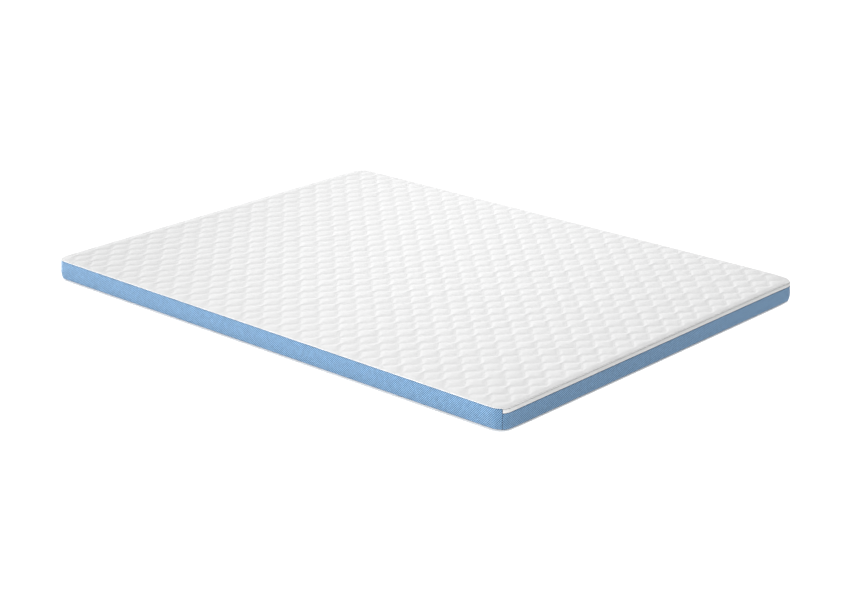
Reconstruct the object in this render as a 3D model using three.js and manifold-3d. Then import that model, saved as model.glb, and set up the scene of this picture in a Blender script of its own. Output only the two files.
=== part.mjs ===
// A thin quilted mattress, 150 by 200 cm, lying flat.
//
// X runs across its width, Y along its length and Z up. The origin is in the middle of the
// underside. The foot end, which has a white band above its blue mesh, faces -Y.
// All sizes are in millimetres.

import * as THREE from 'three';
import { mergeVertices } from 'three/addons/utils/BufferGeometryUtils.js';
import Module from 'manifold-3d';

const wasm = await Module();
wasm.setup();

// Whole mattress
const WIDTH = 1500;
const LENGTH = 2000;
const CORNER_RADIUS = 40;
const CORNER_STEPS = 9;
const SEAM_GAP = 0.3;
const SAME_PLACE = 1e-6;

// Heights of the seams that run round it
const BOTTOM_SEAM = 7.8;
const TOP_SEAM = 70.3;
const BAND_SEAM = 57.2;
const EDGE_CREST = 78.4;
const CROWN = 1.6;

// Foot strips, whose end seams lie a little towards the foot end from the corners' middles
const STRIP_THICKNESS = 8;
const END_SEAM_SHIFT = 4;

// Quilting: zigzag channels run across the width, each the mirror of the next, so that wide pads
// and narrow necks alternate along a row, and the rows are staggered by half a pad
const PAD_PITCH = 82.5;
const PAD_TOP = 26;
const ROW_PAIR_PITCH = 85;
const LARGE_ROW = 46.2;
const CHANNEL_SWING = 13.5;
const FIRST_PAD_X = 12;
const FIRST_CHANNEL_Y = 13;
const LARGE_PAD_RISE = 2.2;
const SMALL_PAD_RISE = 1.7;
const LARGE_NECK_RISE = 1.6;
const SMALL_NECK_RISE = 1.1;

// Distance in from the outline against height, from the lowest ring to the highest
const BORDER_PROFILE = [
  { inset: 1.5, z: BOTTOM_SEAM + SEAM_GAP },
  { inset: 0.3, z: 22 },
  { inset: 0, z: 40 },
  { inset: 0.3, z: BAND_SEAM },
  { inset: 1.3, z: TOP_SEAM },
];
const BOTTOM_PROFILE = [
  { inset: 3.6, z: 0 },
  { inset: 1.9, z: 1 },
  { inset: 1.4, z: 3 },
  { inset: 1.5, z: BOTTOM_SEAM },
];
// The last ring stands above every pad, and takes nothing off the panel
const TOP_ROLL_PROFILE = [
  { inset: 1.5, z: TOP_SEAM + SEAM_GAP },
  { inset: 0.2, z: TOP_SEAM + 1.9 },
  { inset: 0.8, z: TOP_SEAM + 3.4 },
  { inset: 12, z: EDGE_CREST - 2.2 },
  { inset: 38, z: EDGE_CREST + 4 },
];

const COLOURS = {
  quiltedWhite: 0xeeeeec,
  plainWhite: 0xe6e6e4,
  meshBlue: 0x7fa4cf,
};

// The mattress in plan, a given distance in from its outline
function outlineShape(inset) {
  const x = WIDTH / 2 - inset;
  const y = LENGTH / 2 - inset;
  const r = CORNER_RADIUS - inset;
  const shape = new THREE.Shape();
  shape.moveTo(x - r, -y);
  shape.absarc(x - r, -y + r, r, -Math.PI / 2, 0);
  shape.absarc(x - r, y - r, r, 0, Math.PI / 2);
  shape.absarc(-x + r, y - r, r, Math.PI / 2, Math.PI);
  shape.absarc(-x + r, -y + r, r, Math.PI, 1.5 * Math.PI);
  return shape;
}

// Points round the outline, none of them twice: every inset gives as many, so that rings join
// one to one
function outlinePoints(inset) {
  const points = outlineShape(inset).getPoints(CORNER_STEPS);
  return points.filter((point, i) => {
    const next = points[(i + 1) % points.length];
    return point.distanceTo(next) > SAME_PLACE;
  });
}

// A closed plate whose edge follows a profile of insets and heights all the way round
function edgedPlate(profile) {
  const rings = profile.map(({ inset }) => outlinePoints(inset));
  const count = rings[0].length;
  const positions = [];
  rings.forEach((ring, level) => {
    ring.forEach((point) => positions.push(point.x, point.y, profile[level].z));
  });
  const index = [];
  for (let level = 0; level + 1 < rings.length; level += 1) {
    for (let i = 0; i < count; i += 1) {
      const a = level * count + i;
      const b = level * count + ((i + 1) % count);
      index.push(a, b, b + count, a, b + count, a + count);
    }
  }
  const top = (rings.length - 1) * count;
  THREE.ShapeUtils.triangulateShape(rings[0], []).forEach(([a, b, c]) => {
    index.push(c, b, a, top + a, top + b, top + c);
  });
  return solidFrom(positions, index);
}

// An upright prism over a plan outline
function prism(planPoints, low, high) {
  const shape = new THREE.Shape(planPoints.map(([x, y]) => new THREE.Vector2(x, y)));
  const geometry = new THREE.ExtrudeGeometry(shape, { depth: high - low, bevelEnabled: false });
  geometry.translate(0, 0, low);
  geometry.deleteAttribute('normal');
  geometry.deleteAttribute('uv');
  const merged = mergeVertices(geometry);
  return solidFrom(merged.attributes.position.array, merged.index.array);
}

function solidFrom(positions, index) {
  return new wasm.Manifold(
    new wasm.Mesh({
      numProp: 3,
      vertProperties: new Float32Array(positions),
      triVerts: new Uint32Array(index),
    }),
  );
}

// Whole and half pitches from the first pad of a row: whole at a pad, and a half at a neck.
// The rows above odd channels start half a pitch later.
function turnsAlong(x, column) {
  return (x - FIRST_PAD_X) / PAD_PITCH + column / 2;
}

// Distance to the nearest pad's centre, along the row
function awayFromPad(x, column) {
  const turns = turnsAlong(x, column);
  return Math.abs(turns - Math.round(turns)) * PAD_PITCH;
}

// A channel swings towards the foot under a pad, and towards the head under a neck
function channelSwing(x, column) {
  return CHANNEL_SWING * (4 * awayFromPad(x, column) / PAD_PITCH - 1);
}

// Height of the panel's ground, from which the pads rise: a low crown that fades to the edges
function groundHeight(x, y) {
  const across = 1 - (2 * x / WIDTH) ** 2;
  const along = 1 - (2 * y / LENGTH) ** 2;
  return EDGE_CREST - LARGE_PAD_RISE + CROWN * Math.max(across, 0) * Math.max(along, 0);
}

// The lines of the quilted surface from the foot to the head: channels, and the crests between
// them. Channel number 2n swings as the first one does, and channel 2n + 1 half a pad later.
function quiltLines(xReach, yReach) {
  const lines = [];
  const firstPair = Math.floor((-yReach - FIRST_CHANNEL_Y) / ROW_PAIR_PITCH) - 1;
  const lastPair = Math.ceil((yReach - FIRST_CHANNEL_Y) / ROW_PAIR_PITCH) + 1;
  for (let pair = firstPair; pair <= lastPair; pair += 1) {
    const y = FIRST_CHANNEL_Y + pair * ROW_PAIR_PITCH;
    lines.push(channelLine(y, 0, xReach));
    lines.push(crestLine(y + LARGE_ROW / 2, 0, LARGE_PAD_RISE, LARGE_NECK_RISE, xReach));
    lines.push(channelLine(y + LARGE_ROW, 1, xReach));
    lines.push(
      crestLine(y + (LARGE_ROW + ROW_PAIR_PITCH) / 2, 1, SMALL_PAD_RISE, SMALL_NECK_RISE, xReach),
    );
  }
  return lines;
}

// Places where a line has points: the centre of every pad and neck, or two on top of each pad
function stations(column, padTop, xReach) {
  const found = [-xReach];
  const firstHalf = Math.ceil(2 * turnsAlong(-xReach, column));
  const lastHalf = Math.floor(2 * turnsAlong(xReach, column));
  for (let half = firstHalf - 1; half <= lastHalf + 1; half += 1) {
    const centre = FIRST_PAD_X + (half - column) * PAD_PITCH / 2;
    const onPad = half % 2 === 0 && padTop > 0;
    const places = onPad ? [centre - padTop / 2, centre + padTop / 2] : [centre];
    places.filter((x) => Math.abs(x) < xReach - 1).forEach((x) => found.push(x));
  }
  found.push(xReach);
  return found;
}

function channelLine(y, column, xReach) {
  return stations(column, 0, xReach).map((x) => {
    const placed = y + channelSwing(x, column);
    return { x, y: placed, z: groundHeight(x, placed) };
  });
}

function crestLine(y, column, padRise, neckRise, xReach) {
  return stations(column, PAD_TOP, xReach).map((x) => {
    const beyondTop = Math.max(awayFromPad(x, column) - PAD_TOP / 2, 0);
    const share = 2 * beyondTop / (PAD_PITCH - PAD_TOP);
    return { x, y, z: groundHeight(x, y) + padRise + (neckRise - padRise) * share };
  });
}

// The triangles between two lines whose points are in order along X
function stitchLines(lower, upper, lowerStart, upperStart, index) {
  let a = 0;
  let b = 0;
  while (a + 1 < lower.length || b + 1 < upper.length) {
    const lowerNext = a + 1 < lower.length ? lower[a + 1].x + lower[a].x : Infinity;
    const upperNext = b + 1 < upper.length ? upper[b + 1].x + upper[b].x : Infinity;
    if (lowerNext <= upperNext) {
      index.push(lowerStart + a, lowerStart + a + 1, upperStart + b);
      a += 1;
    } else {
      index.push(lowerStart + a, upperStart + b + 1, upperStart + b);
      b += 1;
    }
  }
}

// A slab that reaches past the outline all round, with the quilting on its upper face
function quiltedSlab() {
  const xReach = WIDTH / 2 + PAD_PITCH / 4;
  const yReach = LENGTH / 2;
  const lines = quiltLines(xReach, yReach);
  const positions = [];
  const starts = [];
  lines.forEach((line) => {
    starts.push(positions.length / 3);
    line.forEach(({ x, y, z }) => positions.push(x, y, z));
  });
  const index = [];
  for (let i = 0; i + 1 < lines.length; i += 1) {
    stitchLines(lines[i], lines[i + 1], starts[i], starts[i + 1], index);
  }
  const rim = [];
  lines[0].forEach((point, i) => rim.push(starts[0] + i));
  for (let i = 1; i < lines.length; i += 1) rim.push(starts[i] + lines[i].length - 1);
  const last = lines.length - 1;
  for (let i = lines[last].length - 2; i >= 0; i -= 1) rim.push(starts[last] + i);
  for (let i = last - 1; i > 0; i -= 1) rim.push(starts[i]);
  closeBelow(positions, index, rim);
  return solidFrom(positions, index);
}

// Walls down from a rim to a flat underside, well below the panel's own
function closeBelow(positions, index, rim) {
  const floorZ = TOP_SEAM - STRIP_THICKNESS;
  const lowStart = positions.length / 3;
  rim.forEach((vertex) => positions.push(positions[3 * vertex], positions[3 * vertex + 1], floorZ));
  const centre = positions.length / 3;
  positions.push(0, 0, floorZ);
  rim.forEach((vertex, i) => {
    const next = (i + 1) % rim.length;
    index.push(vertex, lowStart + i, lowStart + next, vertex, lowStart + next, rim[next]);
    index.push(centre, lowStart + next, lowStart + i);
  });
}

// The space of the foot strips in plan: it fans out from near the centres of the two foot corners,
// so that each end seam lies close to the middle of its corner
function footZone(clearance, low, high) {
  const x = WIDTH / 2 - CORNER_RADIUS - END_SEAM_SHIFT - clearance * Math.SQRT2;
  const y = LENGTH / 2 - CORNER_RADIUS;
  const reach = 2 * CORNER_RADIUS;
  return prism([[-x, -y], [-x - reach, -y - reach], [x + reach, -y - reach], [x, -y]], low, high);
}

// What lies further in than the strips
function innerBlock(inset, low, high) {
  return prism(outlinePoints(inset).map(({ x, y }) => [x, y]), low, high);
}

// A strip of the mattress's side on the foot end, from one height to another
function footStrip(side, low, high) {
  const zone = footZone(SEAM_GAP, low, high);
  return side.intersect(zone).subtract(innerBlock(STRIP_THICKNESS, low - 1, high + 1));
}

function meshFrom(name, solid, colour, roughness) {
  const { numProp, vertProperties, triVerts } = solid.getMesh();
  const geometry = new THREE.BufferGeometry();
  const positions = new Float32Array(3 * (vertProperties.length / numProp));
  for (let i = 0; i < positions.length; i += 1) {
    positions[i] = vertProperties[Math.floor(i / 3) * numProp + (i % 3)];
  }
  geometry.setAttribute('position', new THREE.BufferAttribute(positions, 3));
  geometry.setIndex(new THREE.BufferAttribute(new Uint32Array(triVerts), 1));
  geometry.computeVertexNormals();
  const material = new THREE.MeshStandardMaterial({ color: colour, roughness, metalness: 0 });
  const mesh = new THREE.Mesh(geometry, material);
  mesh.name = name;
  return mesh;
}

function buildMattress() {
  const side = edgedPlate(BORDER_PROFILE);
  const pocketLow = BOTTOM_SEAM;
  const pocketHigh = TOP_SEAM + 1;
  const pocket = footZone(0, pocketLow, pocketHigh).subtract(
    innerBlock(STRIP_THICKNESS + SEAM_GAP, pocketLow - 1, pocketHigh + 1),
  );
  const group = new THREE.Group();
  group.name = 'mattress';
  group.add(meshFrom('bottom_panel', edgedPlate(BOTTOM_PROFILE), COLOURS.plainWhite, 0.9));
  group.add(meshFrom('mesh_border', side.subtract(pocket), COLOURS.meshBlue, 0.8));
  const footBorder = footStrip(side, BOTTOM_SEAM, BAND_SEAM);
  group.add(meshFrom('foot_border', footBorder, COLOURS.meshBlue, 0.8));
  const zipBand = footStrip(side, BAND_SEAM + SEAM_GAP, TOP_SEAM + 1);
  group.add(meshFrom('zip_band', zipBand, COLOURS.plainWhite, 0.85));
  const panel = quiltedSlab().intersect(edgedPlate(TOP_ROLL_PROFILE));
  group.add(meshFrom('quilted_top', panel, COLOURS.quiltedWhite, 0.9));
  return group;
}

export default buildMattress();
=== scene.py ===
"""Looks of a thin quilted mattress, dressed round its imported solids.

The mattress lies flat, with its foot end towards -Y. A white quilted panel covers the top, blue
air mesh runs round the sides, a white band lies above the mesh on the foot end, and a plain
white cloth covers the underside. All sizes are in metres.
"""

import math

import bpy
import numpy as np
from bpy.props import FloatProperty, FloatVectorProperty, PointerProperty
from mathutils import Matrix, Vector


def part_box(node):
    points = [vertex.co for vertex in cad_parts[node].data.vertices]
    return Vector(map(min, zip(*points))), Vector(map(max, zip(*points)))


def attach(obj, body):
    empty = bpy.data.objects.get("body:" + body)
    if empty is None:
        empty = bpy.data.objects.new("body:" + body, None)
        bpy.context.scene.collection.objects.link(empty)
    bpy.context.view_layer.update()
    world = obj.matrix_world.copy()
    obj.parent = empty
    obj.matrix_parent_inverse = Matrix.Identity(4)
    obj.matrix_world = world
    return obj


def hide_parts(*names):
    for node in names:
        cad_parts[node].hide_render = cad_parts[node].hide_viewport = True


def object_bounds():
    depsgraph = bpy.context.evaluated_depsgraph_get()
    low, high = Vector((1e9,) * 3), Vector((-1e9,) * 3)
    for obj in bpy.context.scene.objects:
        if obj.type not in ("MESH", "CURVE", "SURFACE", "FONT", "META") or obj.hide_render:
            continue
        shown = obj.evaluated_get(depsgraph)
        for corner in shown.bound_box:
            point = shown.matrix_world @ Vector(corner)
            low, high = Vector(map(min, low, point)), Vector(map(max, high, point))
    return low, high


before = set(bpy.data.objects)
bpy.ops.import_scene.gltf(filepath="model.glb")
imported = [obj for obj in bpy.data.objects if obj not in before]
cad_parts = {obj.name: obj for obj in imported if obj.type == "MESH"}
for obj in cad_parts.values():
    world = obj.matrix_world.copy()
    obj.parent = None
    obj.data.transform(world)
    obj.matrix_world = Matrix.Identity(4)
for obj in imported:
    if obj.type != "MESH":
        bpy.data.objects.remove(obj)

bl_info = {
    "name": "Thin quilted mattress",
    "version": (1, 0, 0),
    "blender": (4, 5, 0),
    "location": "3D View > Sidebar > Mattress",
    "description": "Makes the cloths, seams and studio of a thin quilted mattress",
    "category": "Object",
}

MM = 0.001
BODY = "root"

# The whole mattress, and the heights of its seams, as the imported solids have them
CAD_LOW, CAD_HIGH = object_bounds()
HALF_WIDTH = (CAD_HIGH.x - CAD_LOW.x) / 2
HALF_LENGTH = (CAD_HIGH.y - CAD_LOW.y) / 2
BOTTOM_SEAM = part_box("bottom_panel")[1].z
BORDER_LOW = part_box("mesh_border")[0].z
BORDER_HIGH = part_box("mesh_border")[1].z
STRIP_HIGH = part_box("foot_border")[1].z
BAND_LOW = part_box("zip_band")[0].z
PANEL_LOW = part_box("quilted_top")[0].z
CORNER_RADIUS = 40 * MM
STRIP_THICKNESS = 8 * MM
SEAM_GAP = 0.3 * MM
CORNER_SEAM = 3 * MM

# Cover that has been lain on: how far its corners sink, fall, tuck in and bulge, how far its
# seams lie from even heights, and the reach of each
CORNER_SAG = 2.3 * MM
CORNER_SAG_REACH = 90 * MM
CORNER_FALL = 7.0 * MM
CORNER_FALL_REACH = 38 * MM
CORNER_FALL_LEAST = 0.3
CORNER_FALL_GAIN = 0.35
CORNER_TUCK = 2.9 * MM
CORNER_TUCK_REACH = 55 * MM
CORNER_TUCK_GAIN = 0.35
CORNER_TUCK_POWER = 4
CORNER_BULGE = 1.8 * MM
CORNER_BULGE_HEIGHT = 26 * MM
CORNER_BULGE_SPREAD = 16 * MM
FOOT_BULGE = 2.2 * MM
FOOT_BULGE_SPREAD = 14 * MM
LONG_SEAM_LIFT = 1.2 * MM
LONG_SEAM_SPREAD = 5 * MM
LOW_SEAM_LIFT = 0.8 * MM
LOW_SEAM_DROP = 0.6 * MM
LOW_SEAM_SPREAD = 7 * MM

# Change from the foot end to the long sides, by the direction seen from inside a foot corner
FOOT_TURN_INSIDE = 150 * MM
FOOT_TURN_END_DEGREES = 46.5
FOOT_TURN_SPREAD_DEGREES = 4

# Air mesh: the ratio of its pitches, the level of its holes' edges and the looks of both cloths
MESH_ROW_RATIO = 0.95
HOLE_EDGE = 0.3
# Each cloth's tone paints shade over all of it, darker on the foot end, which lies in the shade; the
# drawn-in share paints shade beside its seams
LONG_MESH = {"lean": 0.6, "relief": 0.5, "softness": 0.8, "painted_shade_tone": 0.99, "drawn_in_and_painted_shade": 0.75}
FOOT_MESH = {"lean": 1.3, "relief": 0.3, "softness": 1.05, "painted_shade_tone": 0.93, "drawn_in_and_painted_shade": 0.42}

# Quilting: its repeat, the lines of points round its channels, the steps in which the nearest
# channel is looked for, and the share of a pad's rise at which the panel's even surface lies
PAD_PITCH = 82.5 * MM
ROW_PAIR_PITCH = 85 * MM
LARGE_ROW = 46.2 * MM
FIRST_PAD_X = 12 * MM
FIRST_CHANNEL_Y = 13 * MM
EDGE_CREST = 78.4 * MM
CROWN = CAD_HIGH.z - EDGE_CREST
COLUMNS_PER_PAD = 12
LINE_DISTANCES = (0.0, 3.4 * MM, 7.8 * MM, 13.4 * MM)
LINE_SHARES = (0.0, 0.24, 0.52, 0.8)
CHANNEL_STEP = 0.6 * MM
CHANNEL_MARGIN = 0.3 * PAD_PITCH
POINTS_AT_ONCE = 8192
EVEN_LEVEL = 0.6
HEAD_FULLNESS = 0.15

# Slow waves in the fullness of the pads: share, radians to a metre of X and of Y, and start
PAD_WAVES = ((0.035, 23, 31, 0.0), (0.03, 41, -17, 1.3))

# Edge of the panel: a soft fall over the last stretch, and a rim that stands above its seam
SOFT_EDGE = 40 * MM
SOFT_FALL = 2.35 * MM
EDGE_DROP = 1.2 * MM
LIP_WIDTH = 1.2 * MM
CORNER_LIP_WIDTH = 4.0 * MM
PANEL_INSET = 0.2 * MM
RIM_HEIGHT = 3.1 * MM
RIM_LINES = np.array([0.0, 0.6, 1.4, 2.6, 4.6, 8.0]) * MM
RIM_WIDTH = 12 * MM
RIM_CLEARANCE = 2 * MM
PAD_FADE_WIDTH = 1.8 * RIM_WIDTH

# Sides: tucks into seams, folds at edges and puckers, each by its depth and the reach over which
# it dies out, the insets of the faces, and their rows of points, which are closer at the seams
BORDER_ROWS = 18
FOOT_ROWS = 16
BAND_ROWS = 12
SEAM_TUCK = (1.1 * MM, 1.2 * MM)
STRIP_FOLD = (0.9 * MM, 0.9 * MM)
BAND_FOLD = (1.0 * MM, 0.8 * MM)
BAND_TUCK = (1.3 * MM, 1.6 * MM)
PUCKER = (0.16 * MM, 7 * MM)
BORDER_BOW = 1.2 * MM
STRIP_INSET = 0.2 * MM
STRIP_BOW_MARGIN = 20 * MM
BAND_INSET = 0.1 * MM
BAND_PUCKER_SHARE = 0.8
BAND_PUCKER_MARGIN = 8 * MM
CLOSE_SHARE = 0.65
RECESS_STEP = 60 * MM

# Waves of the puckers: a quick one whose beat drifts, and a slow one, in radians to a metre
QUICK_TURN = 310
DRIFT = 0.8
DRIFT_TURN = 37
SLOW_SHARE = 0.6
SLOW_TURN = 173
SLOW_START = 1.1

# Rolled edge of the bottom cloth, and its insets at distances below its seam
ROLL_INSET = 1.3 * MM
ROLL_DEPTH = 2.4 * MM
ROLL_HEIGHT = 2.6 * MM
ROLL_STEPS = 8
BOTTOM_TUCK = ((1.3 * MM, 2.0 * MM), (1.7 * MM, 0.8 * MM), (2.8 * MM, 0.0))

# Stitches: places along one and its girth there, as shares, and the sizes and places of each kind
STITCH_PROFILE = ((-0.5, 0.25), (-0.3, 1.0), (0.3, 1.0), (0.5, 0.25))
STITCH_SIDES = 6
DIRECTION_STEP = 0.1 * MM
CORNER_STITCH = {"length": 3.4 * MM, "thickness": 2.2 * MM}
CORNER_STITCH_PITCH = 6.5 * MM
CORNER_STITCH_INSET = 0.5 * MM
CORNER_STITCHES_ABOVE = 3 * MM
CORNER_STITCHES_BELOW = 2 * MM
BAND_STITCH = {"length": 2.6 * MM, "thickness": 0.5 * MM}
BAND_STITCH_PITCH = 3.6 * MM
BAND_STITCH_INSET = 0.25 * MM
BAND_STITCH_HEIGHT = 2.2 * MM
BAND_STITCH_MARGIN = 4 * MM
CHANNEL_STITCH_PITCH = 3.4 * MM
CHANNEL_STITCH_WIDTH = 0.9 * MM
CHANNEL_STITCH_LEVEL = -0.35

# Camera, fitted to the photograph's own perspective
CAMERA_TARGET = Vector((-0.0602, -0.0958, 0.001))
CAMERA_AZIMUTH = math.radians(-47.675)
CAMERA_ELEVATION = math.radians(19.716)
CAMERA_ROLL = math.radians(-0.165)
CAMERA_DISTANCE = 6.6007
CAMERA_LENS_MM = 83.32
CAMERA_SENSOR_MM = 36.0

# The key light, with its angles in degrees, and the long lamp, by the middle of its face, the
# direction of its long side and the one it shines in
KEY_AZIMUTH = -1
KEY_ELEVATION = 30
KEY_SPREAD = 30
KEY_DISTANCE = 5.0
LAMP_PLACE = Vector((0.461, 0.63, 1.69))
LAMP_ALONG = Vector((0.841, 0.534, -0.087))
LAMP_FACING = Vector((0.183, -0.431, -0.884))
LAMP_LENGTH = 4.4
LAMP_WIDTH = 0.5

# Floor: half its side, its gap below the mattress, and where its glows begin and are full
FLOOR_REACH = 25.0
FLOOR_GAP = 0.3 * MM
LEFT_GLOW_OUTSIDE = 150 * MM
LEFT_GLOW_INSIDE = 50 * MM
EDGE_GLOW_START = 30 * MM
EDGE_GLOW_FULL = 5 * MM


def number_setting(name, description, default, **kind):
    """A number that a user would change, shown with its name and description."""
    return FloatProperty(name=name, description=description, default=default, **kind)


def length_setting(name, description, default):
    return number_setting(name, description, default, unit="LENGTH")


def share_setting(name, description, default):
    return number_setting(name, description, default, subtype="FACTOR")


def colour_setting(name, description, default):
    """A colour that a user would change, without its alpha."""
    return FloatVectorProperty(
        name=name, description=description, default=default, subtype="COLOR", size=3
    )


class MattressSizes(bpy.types.PropertyGroup):
    """Sizes of the cloth work that a user would change"""

    pad_rise: length_setting(
        "Pad rise", "Height of a pad of the larger rows above its channels", 2.05 * MM
    )
    small_pad_share: share_setting(
        "Small pad share", "Height of a pad of the smaller rows, as a share of the larger ones", 0.78
    )
    shoulder: length_setting("Shoulder", "Distance from a channel over which a pad rises", 10.2 * MM)
    shoulder_power: number_setting(
        "Shoulder power", "How late a pad rises: 1 is at once, 2 is a soft valley", 2.6
    )
    channel_swing: length_setting(
        "Channel swing", "Distance by which a channel swings to either side", 13.6 * MM
    )
    channel_sharpness: share_setting(
        "Channel sharpness", "Form of the zigzag: near 0 is a wave, and near 1 has sharp turns", 0.9
    )
    mesh_pitch: length_setting(
        "Mesh pitch", "Distance from one hole of the air mesh to the next along a row", 6.5 * MM
    )


class MattressColours(bpy.types.PropertyGroup):
    """Colours of the cloths, threads and floor"""

    quilt_white: colour_setting("Quilted cloth", "Colour of the quilted top", (0.875, 0.875, 0.875))
    plain_white: colour_setting("Plain cloth", "Colour of the white band", (0.82, 0.82, 0.815))
    # The underside's white is darker than the band's, as painted shade on its edge where it curls
    # under beside the floor, and a little bluer
    bottom_white: colour_setting("Bottom cloth", "Colour of the underside", (0.765, 0.79, 0.825))
    mesh_thread: colour_setting("Mesh thread", "Colour between the holes", (0.29, 0.497, 0.745))
    # The holes' colour is the cloth seen through them, darkened as painted shade for their depth,
    # which is only a bump
    mesh_hole: colour_setting("Mesh hole", "Colour inside the holes", (0.004, 0.108, 0.275))
    blue_thread: colour_setting("Blue thread", "Colour of the corner seams", (0.018, 0.045, 0.12))
    floor: colour_setting("Floor", "Colour of the floor", (0.1, 0.1, 0.1))


class MattressLights(bpy.types.PropertyGroup):
    """Strengths of the studio's lights"""

    key: number_setting("Key light", "Strength of the wide light behind the head end", 3.18)
    sky: number_setting("Room light", "Strength of the light from all around", 0.259)
    long_lamp: number_setting("Long lamp", "Strength of the lamp over the mattress", 16.2)
    floor_glow: number_setting("Floor glow", "Light that the floor sends up, but on the left", 1.2)
    left_glow: number_setting("Left floor glow", "Light that the floor sends up on the left", 2.68)
    edge_glow: number_setting("Edge glow", "Light of the floor just beside the mattress", 1.34)


# Objects and meshes from arrays


def linked(name, data):
    """A new object of the scene that holds a mesh, a light or a camera."""
    obj = bpy.data.objects.new(name, data)
    bpy.context.scene.collection.objects.link(obj)
    return obj


def mesh_object(name, vertices, faces):
    """A new object from an array of points and a list of arrays of faces.

    Each array of faces holds faces of one size, as rows of point numbers. An outline with many
    corners is an array of one row.
    """
    mesh = bpy.data.meshes.new(name)
    sizes = np.concatenate([np.full(len(part), part.shape[1]) for part in faces])
    corners = np.concatenate([part.ravel() for part in faces])
    mesh.vertices.add(len(vertices))
    mesh.vertices.foreach_set("co", np.ascontiguousarray(vertices, np.float32).ravel())
    mesh.loops.add(len(corners))
    mesh.loops.foreach_set("vertex_index", corners.astype(np.int32))
    mesh.polygons.add(len(sizes))
    mesh.polygons.foreach_set("loop_start", (np.cumsum(sizes) - sizes).astype(np.int32))
    mesh.polygons.foreach_set("use_smooth", np.ones(len(sizes), bool))
    mesh.update(calc_edges=True)
    if mesh.validate():
        raise RuntimeError(f"{name} has faces that Blender had to mend")
    return linked(name, mesh)


def set_uv(obj, name, values):
    """A UV map whose value at each corner of a face is that of the corner's point."""
    mesh = obj.data
    layer = mesh.uv_layers.new(name=name)
    corners = np.zeros(len(mesh.loops), np.int32)
    mesh.loops.foreach_get("vertex_index", corners)
    layer.data.foreach_set("uv", values.reshape(-1, 2)[corners].astype(np.float32).ravel())


def joined(*columns):
    """An array of points or pairs from an array for each coordinate, stretched to one size."""
    return np.stack(np.broadcast_arrays(*columns), axis=-1)


def numbered(table):
    """The point numbers of a table of points."""
    return np.arange(table[..., 0].size).reshape(table.shape[:2])


def grid_faces(index, closed=False):
    """Quads between neighbouring rows and columns of a table of point numbers.

    The table runs along the second axis to the right and along the first axis upwards, as seen
    from outside. A closed table joins its last column to its first.
    """
    if closed:
        index = np.concatenate([index, index[:, :1]], axis=1)
    quads = np.stack([index[:-1, :-1], index[:-1, 1:], index[1:, 1:], index[1:, :-1]], axis=-1)
    return quads.reshape(-1, 4)


def without_collapsed(quads):
    """The quads whose corners differ, and as triangles those that have lost one corner."""
    same = quads == np.roll(quads, -1, axis=1)
    opposite = (quads[:, 0] == quads[:, 2]) | (quads[:, 1] == quads[:, 3])
    whole = quads[(same.sum(axis=1) == 0) & ~opposite]
    short = (same.sum(axis=1) == 1) & ~opposite
    triangles = quads[short][~same[short]].reshape(-1, 3)
    return [part for part in (whole, triangles) if len(part)]


def finish_piece(obj, material, slot, *nodes):
    """Gives a finished piece its material and its body, and hides the nodes it stands for; the slot
    is not used.
    """
    obj.data.materials.append(material)
    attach(obj, BODY)
    if nodes:
        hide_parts(*nodes)
    return obj


# The outline in plan


def outline_breaks():
    """Centre of the corner's arc, direction of the outward normal and distance along the outline
    at the ends of every straight side and corner. The outline starts in the middle of the foot
    corner at -X and runs along the foot end, +X side, head and -X side back to its start."""
    x = HALF_WIDTH - CORNER_RADIUS
    y = HALF_LENGTH - CORNER_RADIUS
    eighth = math.pi / 4
    arc = CORNER_RADIUS * eighth
    moves = [
        (-x, -y, 5 * eighth, 0.0),
        (-x, -y, 6 * eighth, arc),
        (x, -y, 6 * eighth, 2 * x),
        (x, -y, 8 * eighth, 2 * arc),
        (x, y, 8 * eighth, 2 * y),
        (x, y, 10 * eighth, 2 * arc),
        (-x, y, 10 * eighth, 2 * x),
        (-x, y, 12 * eighth, 2 * arc),
        (-x, -y, 12 * eighth, 2 * y),
        (-x, -y, 13 * eighth, arc),
    ]
    table = np.array(moves)
    table[:, 3] = np.cumsum(table[:, 3])
    return table


OUTLINE = outline_breaks()
OUTLINE_LENGTH = OUTLINE[-1, 3]
FOOT_LENGTH = 2 * (HALF_WIDTH - CORNER_RADIUS) + CORNER_RADIUS * math.pi / 2


def outline_point(along, inset):
    """X and Y at a distance along the outline, moved in by an inset: the centre of the corner's
    arc, which slides along the straight sides, plus the arc's radius less the inset, turned to
    face outwards."""
    along = np.mod(along, OUTLINE_LENGTH)
    centre_x = np.interp(along, OUTLINE[:, 3], OUTLINE[:, 0])
    centre_y = np.interp(along, OUTLINE[:, 3], OUTLINE[:, 1])
    turn = np.interp(along, OUTLINE[:, 3], OUTLINE[:, 2])
    reach = CORNER_RADIUS - inset
    return centre_x + reach * np.cos(turn), centre_y + reach * np.sin(turn)


def along_steps(start, end, step=9 * MM, corner_step=2.4 * MM):
    """Distances along the outline from start to end: evenly spaced on each straight side, and
    closer in the corners, with a value at every break."""
    stops = [start] + [s for s in OUTLINE[:, 3] if start < s < end] + [end]
    pieces = []
    for low, high in zip(stops[:-1], stops[1:]):
        middle = (low + high) / 2
        turns = np.interp([middle - MM, middle + MM], OUTLINE[:, 3], OUTLINE[:, 2])
        spacing = corner_step if turns[1] > turns[0] else step
        count = max(2, int(math.ceil((high - low) / spacing)) + 1)
        pieces.append(np.linspace(low, high, count)[:-1])
    return np.concatenate(pieces + [np.array([end])])


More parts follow.
